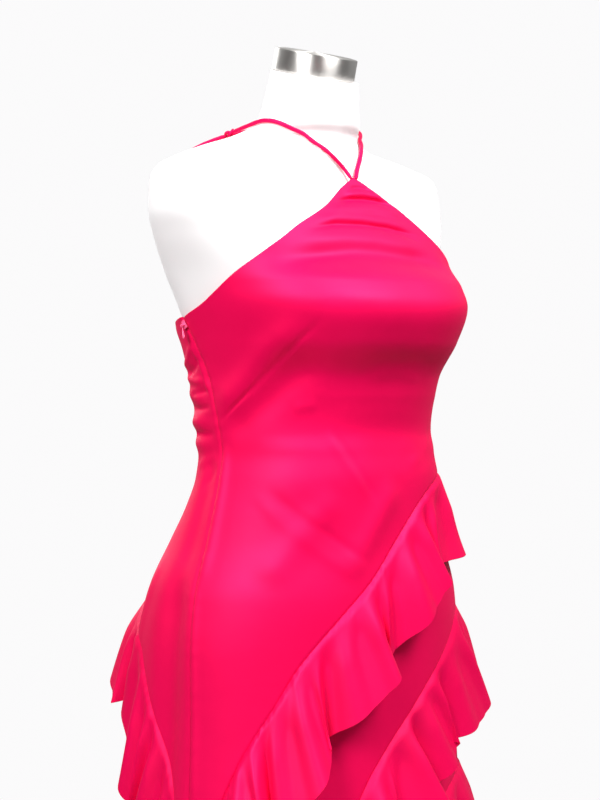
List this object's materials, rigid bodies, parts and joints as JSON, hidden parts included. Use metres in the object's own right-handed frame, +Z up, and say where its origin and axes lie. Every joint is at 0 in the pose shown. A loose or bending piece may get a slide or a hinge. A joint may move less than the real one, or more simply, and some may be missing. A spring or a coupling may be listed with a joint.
{
  "type": "high-low gown on dress form",
  "caption": "Satin halter gown with a high-low hem and slanting ruffles, filled out by a limbless dress form on a round stand, with a side zip.",
  "frame": {"origin": "centre of the stand base's underside, on the floor", "axes": "+Z up, the gown's front faces -Y, the wearer's right side is -X"},
  "size_m": [0.5113, 0.5414, 1.502],
  "materials": {
    "satin": "satin",
    "form_cover": "matt",
    "neck_cap": "brushed",
    "stand": "satin",
    "zip": "gloss"
  },
  "bodies": {
    "gown_on_form": {"front_panel": "satin", "back_panel": "satin", "second_tier_front": "satin", "second_tier_back": "satin", "third_tier_front": "satin", "third_tier_back": "satin", "first_ruffle_front": "satin", "first_ruffle_back": "satin", "second_ruffle_front": "satin", "second_ruffle_back": "satin", "third_ruffle_front": "satin", "third_ruffle_back": "satin", "halter_strap_right": "satin", "halter_strap_left": "satin", "tie_end_right": "satin", "tie_end_left": "satin", "halter_knot": "satin", "form_torso": "form_cover", "neck_cap": "neck_cap", "stand_base": "stand", "stand_post": "stand", "zip_slider": "zip"},
    "zip_pull": {"zip_pull_tab": "zip"}
  },
  "joints": [
    {"name": "zip_pull_hinge", "type": "hinge", "parent": "gown_on_form", "child": "zip_pull", "pos_m": [-0.156, 0.04197, 1.17778], "axis": [0.3184, 0.8573, -0.4047], "range_deg": [0, 150]}
  ]
}
